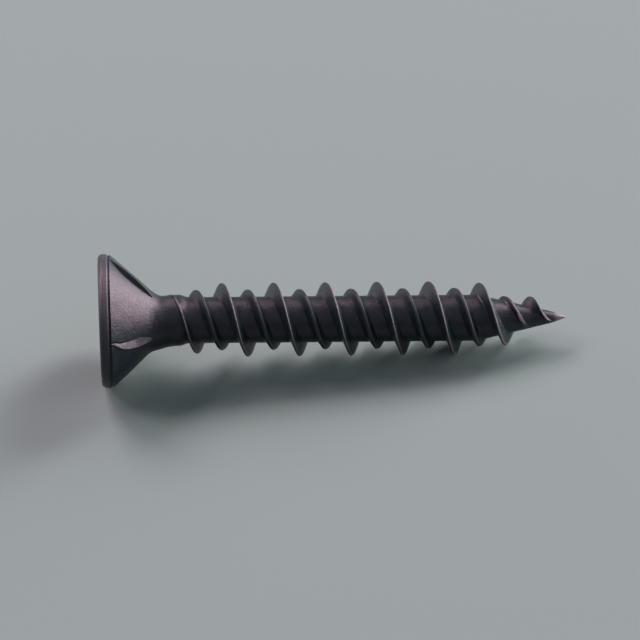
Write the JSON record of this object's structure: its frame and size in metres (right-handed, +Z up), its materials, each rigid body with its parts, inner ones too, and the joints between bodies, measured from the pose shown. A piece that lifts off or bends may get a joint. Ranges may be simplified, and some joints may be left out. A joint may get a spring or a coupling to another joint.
{
  "type": "drywall screw",
  "caption": "Drywall screw with a flat ribbed countersunk head, a cross recess, a short neck, a coarse twin thread of one high and one low ridge, and a sharp point, lying on its side",
  "frame": {"origin": "centre of the bounding box in plan, on the ground plane that the screw lies on", "axes": "+Z up; +X points from the head to the point in plan; the screw's own axis lies in the XZ plane and falls toward the point by 4.74 degrees, because the wide head rim and a thread crest rest on the ground; +Y completes the right-handed set"},
  "size_m": [0.025, 0.007, 0.007],
  "materials": {
    "phosphated_steel": "satin brown-black phosphate"
  },
  "bodies": {
    "root": {"drywall_screw": "phosphated_steel"}
  },
  "joints": []
}
